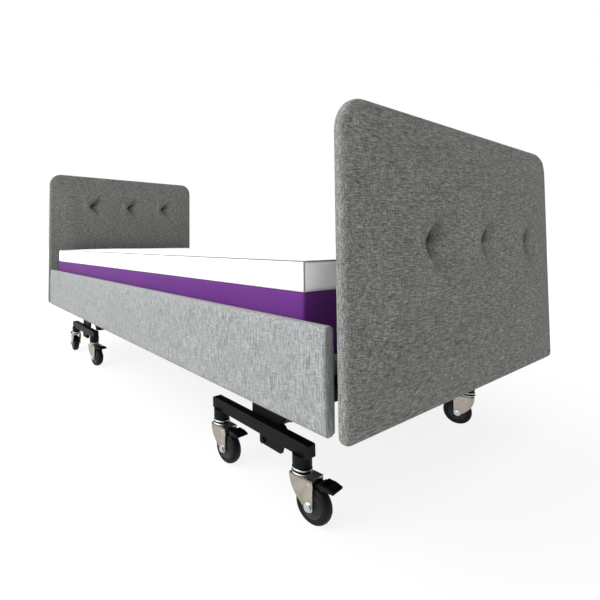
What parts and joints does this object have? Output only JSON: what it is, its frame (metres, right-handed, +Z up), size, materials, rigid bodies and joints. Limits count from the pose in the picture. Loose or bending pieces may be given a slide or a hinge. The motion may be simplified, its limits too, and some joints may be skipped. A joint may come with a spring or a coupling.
{
  "type": "adjustable hospital bed",
  "caption": "Electric profiling bed with tufted fabric end boards, padded side rails, a two-tone sectioned mattress and two scissor-lift bases on braked castors.",
  "frame": {"origin": "floor level, below the middle of the bed's bounding box", "axes": "+X to the foot end along the bed's length, +Y to the bed's far side, +Z up"},
  "size_m": [2.204, 0.976, 1.024],
  "materials": {
    "board_fabric": "matte",
    "rail_fabric": "matte",
    "mattress_white": "matte",
    "mattress_purple": "matte",
    "black_steel": "satin",
    "grey_steel": "satin",
    "zinc": "satin",
    "chrome_rod": "polished",
    "tyre": "matte",
    "black_plastic": "matte"
  },
  "bodies": {
    "foot_base": {"foot_bogie_beams": "black_steel", "foot_cross_frame": "black_steel"},
    "foot_arms": {"foot_lift_arms": "black_steel"},
    "foot_links": {"foot_half_links": "black_steel"},
    "foot_rod": {"foot_lift_rod": "chrome_rod"},
    "deck": {"main_frame": "black_steel", "control_box": "black_plastic", "seat_section": "grey_steel", "foot_lift_actuator": "black_plastic", "head_lift_actuator": "black_plastic", "back_actuator": "black_plastic", "knee_actuator": "black_plastic", "headboard": "board_fabric", "footboard": "board_fabric", "frame_cross_members": "black_steel", "side_rail_left": "rail_fabric", "side_rail_right": "rail_fabric", "mattress_core_seat": "mattress_purple", "mattress_top_seat": "mattress_white", "mattress_folds": "mattress_white"},
    "head_links": {"head_half_links": "black_steel"},
    "head_arms": {"head_lift_arms": "black_steel"},
    "head_rod": {"head_lift_rod": "chrome_rod"},
    "head_base": {"head_bogie_beams": "black_steel", "head_cross_frame": "black_steel"},
    "back": {"back_section": "grey_steel", "mattress_core_back": "mattress_purple", "mattress_top_back": "mattress_white"},
    "thigh": {"thigh_section": "grey_steel", "mattress_core_thigh": "mattress_purple", "mattress_top_thigh": "mattress_white"},
    "calf": {"calf_section": "grey_steel", "mattress_core_calf": "mattress_purple", "mattress_top_calf": "mattress_white"},
    "back_push_rod": {"back_rod": "chrome_rod"},
    "knee_push_rod": {"knee_rod": "chrome_rod"},
    "castor_1": {"castor_fork_1": "zinc"},
    "wheel_1": {"castor_wheel_1": "tyre"},
    "pedal_1": {"castor_pedal_1": "black_plastic"},
    "castor_2": {"castor_fork_2": "zinc"},
    "wheel_2": {"castor_wheel_2": "tyre"},
    "pedal_2": {"castor_pedal_2": "black_plastic"},
    "castor_3": {"castor_fork_3": "zinc"},
    "wheel_3": {"castor_wheel_3": "tyre"},
    "pedal_3": {"castor_pedal_3": "black_plastic"},
    "castor_4": {"castor_fork_4": "zinc"},
    "wheel_4": {"castor_wheel_4": "tyre"},
    "pedal_4": {"castor_pedal_4": "black_plastic"},
    "castor_5": {"castor_fork_5": "zinc"},
    "wheel_5": {"castor_wheel_5": "tyre"},
    "pedal_5": {"castor_pedal_5": "black_plastic"},
    "castor_6": {"castor_fork_6": "zinc"},
    "wheel_6": {"castor_wheel_6": "tyre"},
    "pedal_6": {"castor_pedal_6": "black_plastic"},
    "castor_7": {"castor_fork_7": "zinc"},
    "wheel_7": {"castor_wheel_7": "tyre"},
    "pedal_7": {"castor_pedal_7": "black_plastic"},
    "castor_8": {"castor_fork_8": "zinc"},
    "wheel_8": {"castor_wheel_8": "tyre"},
    "pedal_8": {"castor_pedal_8": "black_plastic"}
  },
  "joints": [
    {"name": "foot_arm_lift", "type": "hinge", "parent": "foot_base", "child": "foot_arms", "pos_m": [0.735, 0, 0.15], "axis": [0, 1, 0], "range_deg": [0, 45]},
    {"name": "foot_link_fold", "type": "hinge", "parent": "foot_arms", "child": "foot_links", "pos_m": [0.46066, 0, 0.206], "axis": [0, 1, 0], "range_deg": [-90, 0]},
    {"name": "foot_deck_level", "type": "hinge", "parent": "foot_links", "child": "deck", "pos_m": [0.735, 0, 0.262], "axis": [0, 1, 0], "range_deg": [0, 45]},
    {"name": "foot_rod_pivot", "type": "hinge", "parent": "foot_arms", "child": "foot_rod", "pos_m": [0.18631, 0, 0.262], "axis": [0, 1, 0], "range_deg": [-45, 0]},
    {"name": "head_link_fold", "type": "hinge", "parent": "deck", "child": "head_links", "pos_m": [-0.708, 0, 0.262], "axis": [0, 1, 0], "range_deg": [0, 45]},
    {"name": "head_arm_fold", "type": "hinge", "parent": "head_links", "child": "head_arms", "pos_m": [-0.43366, 0, 0.206], "axis": [0, 1, 0], "range_deg": [-90, 0]},
    {"name": "head_base_level", "type": "hinge", "parent": "head_arms", "child": "head_base", "pos_m": [-0.708, 0, 0.15], "axis": [0, 1, 0], "range_deg": [0, 45]},
    {"name": "head_rod_pivot", "type": "hinge", "parent": "head_arms", "child": "head_rod", "pos_m": [-0.15931, 0, 0.262], "axis": [0, 1, 0], "range_deg": [0, 45]},
    {"name": "backrest", "type": "hinge", "parent": "deck", "child": "back", "pos_m": [-0.23, 0, 0.345], "axis": [0, 1, 0], "range_deg": [0, 60], "deforming": ["mattress_folds"]},
    {"name": "thigh_lift", "type": "hinge", "parent": "deck", "child": "thigh", "pos_m": [-0.03, 0, 0.345], "axis": [0, -1, 0], "range_deg": [0, 30]},
    {"name": "calf_fold", "type": "hinge", "parent": "thigh", "child": "calf", "pos_m": [0.33, 0, 0.345], "axis": [0, 1, 0], "range_deg": [0, 46]},
    {"name": "back_rod_slide", "type": "slide", "parent": "deck", "child": "back_push_rod", "axis": [-1, 0, 0], "range_m": [0, 0.09963]},
    {"name": "knee_rod_slide", "type": "slide", "parent": "deck", "child": "knee_push_rod", "axis": [1, 0, 0], "range_m": [0, 0.05177]},
    {"name": "swivel_1", "type": "hinge", "parent": "foot_base", "child": "castor_1", "pos_m": [0.882, -0.385, 0.114], "axis": [0, 0, 1], "continuous": true},
    {"name": "wheel_spin_1", "type": "hinge", "parent": "castor_1", "child": "wheel_1", "pos_m": [0.91171, -0.38082, 0.042], "axis": [-0.1392, 0.9903, 0], "continuous": true},
    {"name": "brake_1", "type": "hinge", "parent": "castor_1", "child": "pedal_1", "pos_m": [0.91369, -0.38055, 0.0892], "axis": [-0.1392, 0.9903, 0], "range_deg": [0, 18]},
    {"name": "swivel_2", "type": "hinge", "parent": "foot_base", "child": "castor_2", "pos_m": [0.572, -0.385, 0.114], "axis": [0, 0, 1], "continuous": true},
    {"name": "wheel_spin_2", "type": "hinge", "parent": "castor_2", "child": "wheel_2", "pos_m": [0.60196, -0.38343, 0.042], "axis": [-0.0523, 0.9986, 0], "continuous": true},
    {"name": "brake_2", "type": "hinge", "parent": "castor_2", "child": "pedal_2", "pos_m": [0.60396, -0.38333, 0.0892], "axis": [-0.0523, 0.9986, 0], "range_deg": [0, 18]},
    {"name": "swivel_3", "type": "hinge", "parent": "foot_base", "child": "castor_3", "pos_m": [0.882, 0.385, 0.114], "axis": [0, 0, 1], "continuous": true},
    {"name": "wheel_spin_3", "type": "hinge", "parent": "castor_3", "child": "wheel_3", "pos_m": [0.85459, 0.3728, 0.042], "axis": [0.4067, -0.9135, 0], "continuous": true},
    {"name": "brake_3", "type": "hinge", "parent": "castor_3", "child": "pedal_3", "pos_m": [0.85277, 0.37198, 0.0892], "axis": [0.4067, -0.9135, 0], "range_deg": [0, 18]},
    {"name": "swivel_4", "type": "hinge", "parent": "foot_base", "child": "castor_4", "pos_m": [0.572, 0.385, 0.114], "axis": [0, 0, 1], "continuous": true},
    {"name": "wheel_spin_4", "type": "hinge", "parent": "castor_4", "child": "wheel_4", "pos_m": [0.60098, 0.39276, 0.042], "axis": [-0.2588, 0.9659, 0], "continuous": true},
    {"name": "brake_4", "type": "hinge", "parent": "castor_4", "child": "pedal_4", "pos_m": [0.60291, 0.39328, 0.0892], "axis": [-0.2588, 0.9659, 0], "range_deg": [0, 18]},
    {"name": "swivel_5", "type": "hinge", "parent": "head_base", "child": "castor_5", "pos_m": [-0.545, -0.385, 0.114], "axis": [0, 0, 1], "continuous": true},
    {"name": "wheel_spin_5", "type": "hinge", "parent": "castor_5", "child": "wheel_5", "pos_m": [-0.51546, -0.37979, 0.042], "axis": [-0.1736, 0.9848, 0], "continuous": true},
    {"name": "brake_5", "type": "hinge", "parent": "castor_5", "child": "pedal_5", "pos_m": [-0.51349, -0.37944, 0.0892], "axis": [-0.1736, 0.9848, 0], "range_deg": [0, 18]},
    {"name": "swivel_6", "type": "hinge", "parent": "head_base", "child": "castor_6", "pos_m": [-0.855, -0.385, 0.114], "axis": [0, 0, 1], "continuous": true},
    {"name": "wheel_spin_6", "type": "hinge", "parent": "castor_6", "child": "wheel_6", "pos_m": [-0.88484, -0.38186, 0.042], "axis": [-0.1045, -0.9945, 0], "continuous": true},
    {"name": "brake_6", "type": "hinge", "parent": "castor_6", "child": "pedal_6", "pos_m": [-0.88682, -0.38166, 0.0892], "axis": [-0.1045, -0.9945, 0], "range_deg": [0, 18]},
    {"name": "swivel_7", "type": "hinge", "parent": "head_base", "child": "castor_7", "pos_m": [-0.545, 0.385, 0.114], "axis": [0, 0, 1], "continuous": true},
    {"name": "wheel_spin_7", "type": "hinge", "parent": "castor_7", "child": "wheel_7", "pos_m": [-0.51681, 0.39526, 0.042], "axis": [-0.342, 0.9397, 0], "continuous": true},
    {"name": "brake_7", "type": "hinge", "parent": "castor_7", "child": "pedal_7", "pos_m": [-0.51493, 0.39594, 0.0892], "axis": [-0.342, 0.9397, 0], "range_deg": [0, 18]},
    {"name": "swivel_8", "type": "hinge", "parent": "head_base", "child": "castor_8", "pos_m": [-0.855, 0.385, 0.114], "axis": [0, 0, 1], "continuous": true},
    {"name": "wheel_spin_8", "type": "hinge", "parent": "castor_8", "child": "wheel_8", "pos_m": [-0.88398, 0.39276, 0.042], "axis": [-0.2588, -0.9659, 0], "continuous": true},
    {"name": "brake_8", "type": "hinge", "parent": "castor_8", "child": "pedal_8", "pos_m": [-0.88591, 0.39328, 0.0892], "axis": [-0.2588, -0.9659, 0], "range_deg": [0, 18]}
  ],
  "couplings": [
    {"joint": "foot_link_fold", "follows": "foot_arm_lift", "ratio": -2},
    {"joint": "foot_deck_level", "follows": "foot_arm_lift", "ratio": 1},
    {"joint": "foot_rod_pivot", "follows": "foot_arm_lift", "ratio": -1},
    {"joint": "head_link_fold", "follows": "foot_arm_lift", "ratio": 1},
    {"joint": "head_arm_fold", "follows": "foot_arm_lift", "ratio": -2},
    {"joint": "head_base_level", "follows": "foot_arm_lift", "ratio": 1},
    {"joint": "head_rod_pivot", "follows": "foot_arm_lift", "ratio": 1},
    {"joint": "calf_fold", "follows": "thigh_lift", "ratio": 1.528},
    {"joint": "back_rod_slide", "follows": "backrest", "m_per_rad": 0.09513},
    {"joint": "knee_rod_slide", "follows": "thigh_lift", "m_per_rad": 0.098862}
  ]
}
